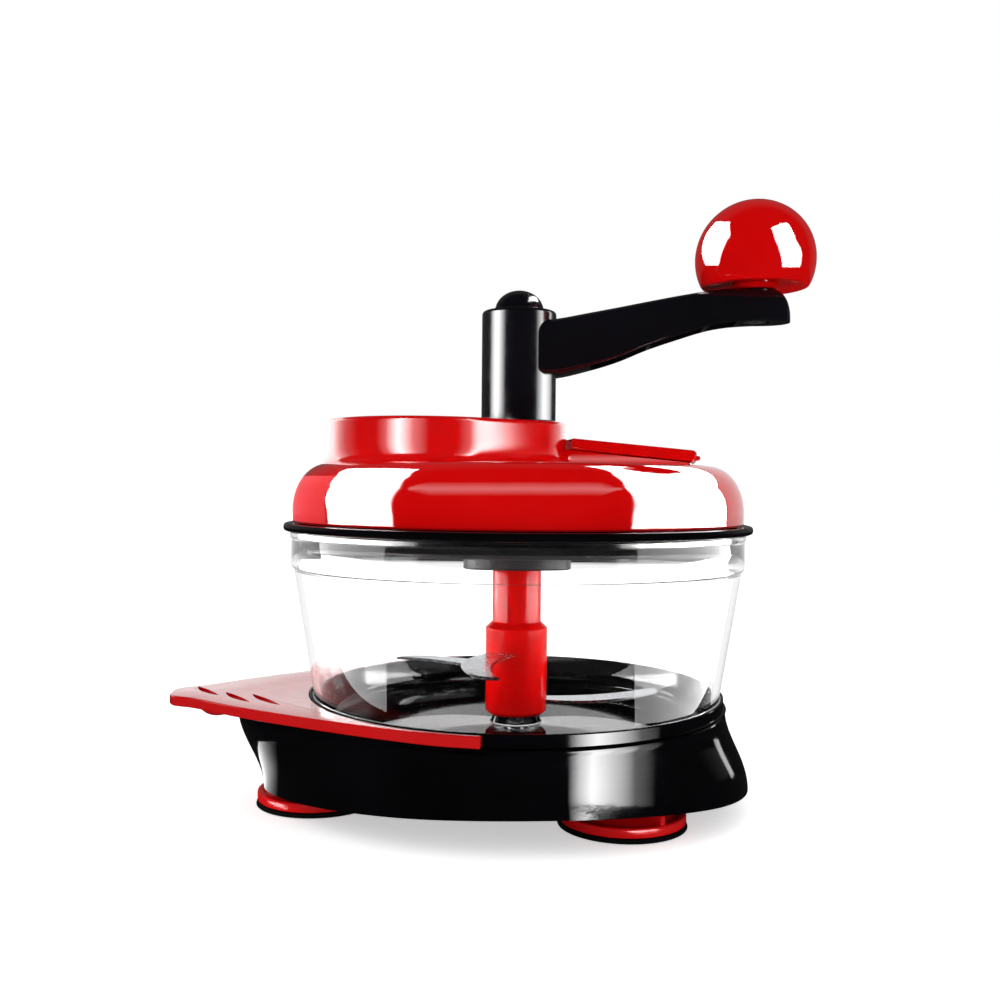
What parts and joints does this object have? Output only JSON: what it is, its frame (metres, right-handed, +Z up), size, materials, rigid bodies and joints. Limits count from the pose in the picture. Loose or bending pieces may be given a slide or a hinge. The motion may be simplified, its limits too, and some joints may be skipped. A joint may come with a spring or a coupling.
{
  "type": "hand-crank food chopper",
  "caption": "Hand-cranked food chopper: clear bowl with blades on a suction-cup base, geared red lid with a feed port, black crank with a ball knob.",
  "frame": {"origin": "on the table, under the middle of the bounding box, on the plane of the suction cups' lips", "axes": "+Z up along the bowl's axis, +X from the bowl's axis towards the crank knob at rest, -X towards the palm rest's tip, +Y to the rear"},
  "size_m": [0.252, 0.186, 0.24],
  "materials": {
    "base_black": "gloss black ABS",
    "case_red": "gloss red ABS",
    "cup_red": "soft red PVC, satin",
    "lip_black": "matt black rubber",
    "bowl_clear": "clear gloss plastic",
    "steel": "polished stainless steel",
    "cover_grey": "dark grey satin ABS",
    "gear_white": "natural white acetal",
    "crank_black": "gloss black ABS",
    "shaft_red": "gloss red ABS"
  },
  "bodies": {
    "base": {"base_shell": "base_black", "palm_plate": "case_red", "suction_cup_prow": "cup_red", "suction_cup_front": "cup_red", "suction_cup_rear": "cup_red", "cup_lip_prow": "lip_black", "cup_lip_front": "lip_black", "cup_lip_rear": "lip_black", "plate_screw_1": "steel", "plate_screw_2": "steel"},
    "bowl": {"bowl": "bowl_clear", "blade_pin": "steel"},
    "blades": {"blade_shaft": "shaft_red", "blade_1": "steel", "blade_2": "steel", "blade_3": "steel"},
    "lid": {"lid_shell": "case_red", "rim_ring": "crank_black", "gear_cover": "cover_grey", "lid_seal": "lip_black", "crank_bush": "gear_white", "layshaft": "steel", "cover_screw_1": "steel", "cover_screw_2": "steel", "cover_screw_3": "steel", "cover_screw_4": "steel"},
    "idler": {"idler_gear": "gear_white"},
    "drive": {"drive_pinion": "gear_white"},
    "crank": {"crank_gear": "gear_white", "crank_spindle": "steel", "crank_arm": "crank_black", "crank_cap": "crank_black", "crank_screw": "steel", "knob_pin": "steel"},
    "knob": {"knob": "case_red", "knob_sleeve": "case_red"},
    "feed_cover": {"feed_cover": "case_red"}
  },
  "joints": [
    {"name": "bowl_lift", "type": "slide", "parent": "base", "child": "bowl", "axis": [0, 0, 1], "range_m": [0, 0.05]},
    {"name": "blade_spin", "type": "hinge", "parent": "bowl", "child": "blades", "pos_m": [0.01046, 0, 0.05], "axis": [0, 0, 1], "continuous": true},
    {"name": "lid_lift", "type": "slide", "parent": "bowl", "child": "lid", "axis": [0, 0, 1], "range_m": [0, 0.07]},
    {"name": "crank_turn", "type": "hinge", "parent": "lid", "child": "crank", "pos_m": [0.01046, 0, 0.15], "axis": [0, 0, 1], "continuous": true},
    {"name": "knob_spin", "type": "hinge", "parent": "crank", "child": "knob", "pos_m": [0.10254, -0.01624, 0.21], "axis": [0, 0, 1], "continuous": true},
    {"name": "idler_spin", "type": "hinge", "parent": "lid", "child": "idler", "pos_m": [-0.02754, 0, 0.12], "axis": [0, 0, 1], "continuous": true},
    {"name": "drive_spin", "type": "hinge", "parent": "lid", "child": "drive", "pos_m": [0.01046, 0, 0.11], "axis": [0, 0, 1], "continuous": true},
    {"name": "feed_cover_lift", "type": "slide", "parent": "lid", "child": "feed_cover", "axis": [0, 0, 1], "range_m": [0, 0.02]}
  ],
  "couplings": [
    {"joint": "idler_spin", "follows": "crank_turn", "ratio": -2.4545},
    {"joint": "drive_spin", "follows": "crank_turn", "ratio": 6.0248},
    {"joint": "blade_spin", "follows": "crank_turn", "ratio": 6.0248}
  ]
}
